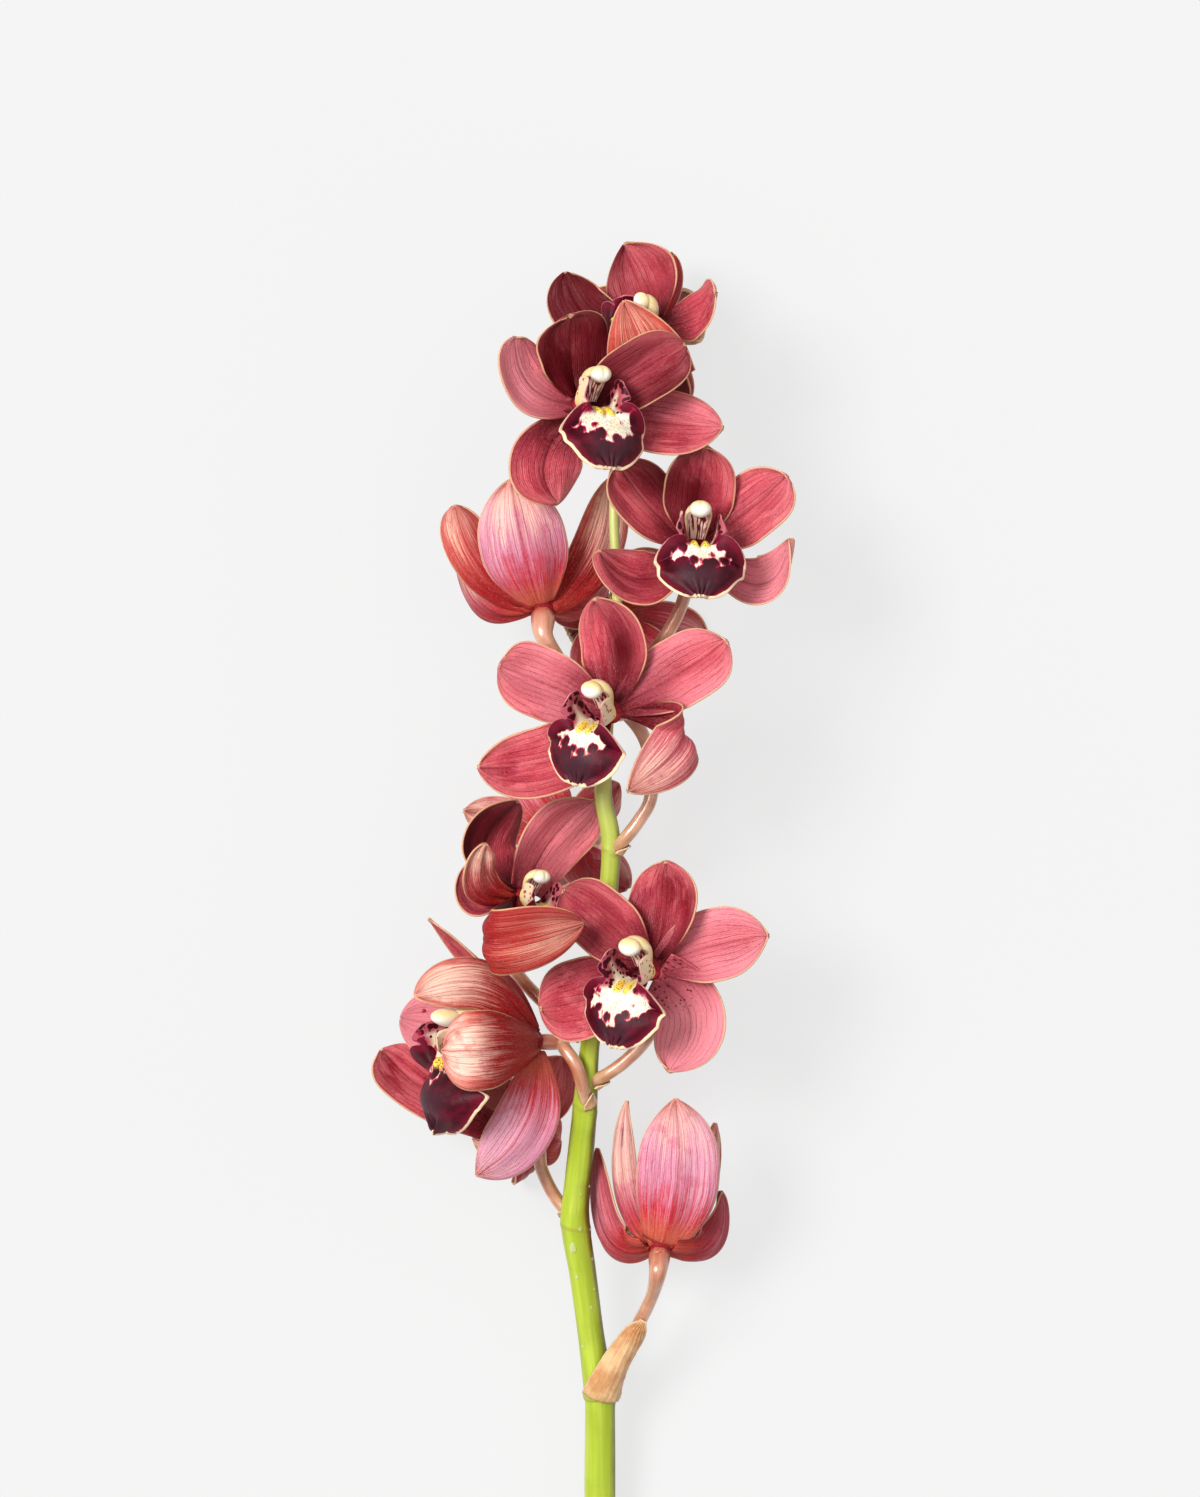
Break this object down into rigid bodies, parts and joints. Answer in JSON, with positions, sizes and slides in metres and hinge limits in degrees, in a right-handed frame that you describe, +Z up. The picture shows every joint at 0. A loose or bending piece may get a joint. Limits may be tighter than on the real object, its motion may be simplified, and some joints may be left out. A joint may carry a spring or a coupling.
{
  "type": "cut cymbidium orchid stem",
  "caption": "Cut flower stem lying on its back: an upright-growing fleshy stalk with large waxy blooms up its length, each on its own curved pedicel.",
  "frame": {"origin": "on the surface that the stem lies on, under the middle of its bounding box", "axes": "+Y along the stalk from its cut end to its tip, +Z up from the surface, so that most blooms face +Z"},
  "size_m": [0.1257, 0.4508, 0.0888],
  "materials": {
    "stalk": "smooth waxy green skin",
    "pedicel": "smooth waxy pinkish brown skin",
    "tepals": "waxy petal, dusty rose red with fine lengthwise veins",
    "lip": "velvety petal, cream with a maroon mid lobe and a cream margin",
    "column": "waxy cream",
    "bract": "dry, papery, finely ribbed"
  },
  "bodies": {
    "root": {"stalk": "stalk", "bloom_1_tepals": "tepals", "bloom_1_lip": "lip", "bloom_1_column": "column", "bloom_1_pedicel": "pedicel", "bloom_2_tepals": "tepals", "bloom_2_lip": "lip", "bloom_2_column": "column", "bloom_2_pedicel": "pedicel", "bloom_3_tepals": "tepals", "bloom_3_lip": "lip", "bloom_3_column": "column", "bloom_3_pedicel": "pedicel", "bloom_4_tepals": "tepals", "bloom_4_lip": "lip", "bloom_4_column": "column", "bloom_4_pedicel": "pedicel", "bloom_5_tepals": "tepals", "bloom_5_lip": "lip", "bloom_5_column": "column", "bloom_5_pedicel": "pedicel", "bloom_6_tepals": "tepals", "bloom_6_lip": "lip", "bloom_6_column": "column", "bloom_6_pedicel": "pedicel", "bloom_7_tepals": "tepals", "bloom_7_lip": "lip", "bloom_7_column": "column", "bloom_7_pedicel": "pedicel", "bloom_8_tepals": "tepals", "bloom_8_lip": "lip", "bloom_8_column": "column", "bloom_8_pedicel": "pedicel", "bloom_9_tepals": "tepals", "bloom_9_lip": "lip", "bloom_9_column": "column", "bloom_9_pedicel": "pedicel", "bloom_10_tepals": "tepals", "bloom_10_lip": "lip", "bloom_10_column": "column", "bloom_10_pedicel": "pedicel", "bloom_11_tepals": "tepals", "bloom_11_lip": "lip", "bloom_11_column": "column", "bloom_11_pedicel": "pedicel", "bloom_12_tepals": "tepals", "bloom_12_lip": "lip", "bloom_12_column": "column", "bloom_12_pedicel": "pedicel", "bloom_13_tepals": "tepals", "bloom_13_lip": "lip", "bloom_13_column": "column", "bloom_13_pedicel": "pedicel", "bract": "bract"}
  },
  "joints": []
}
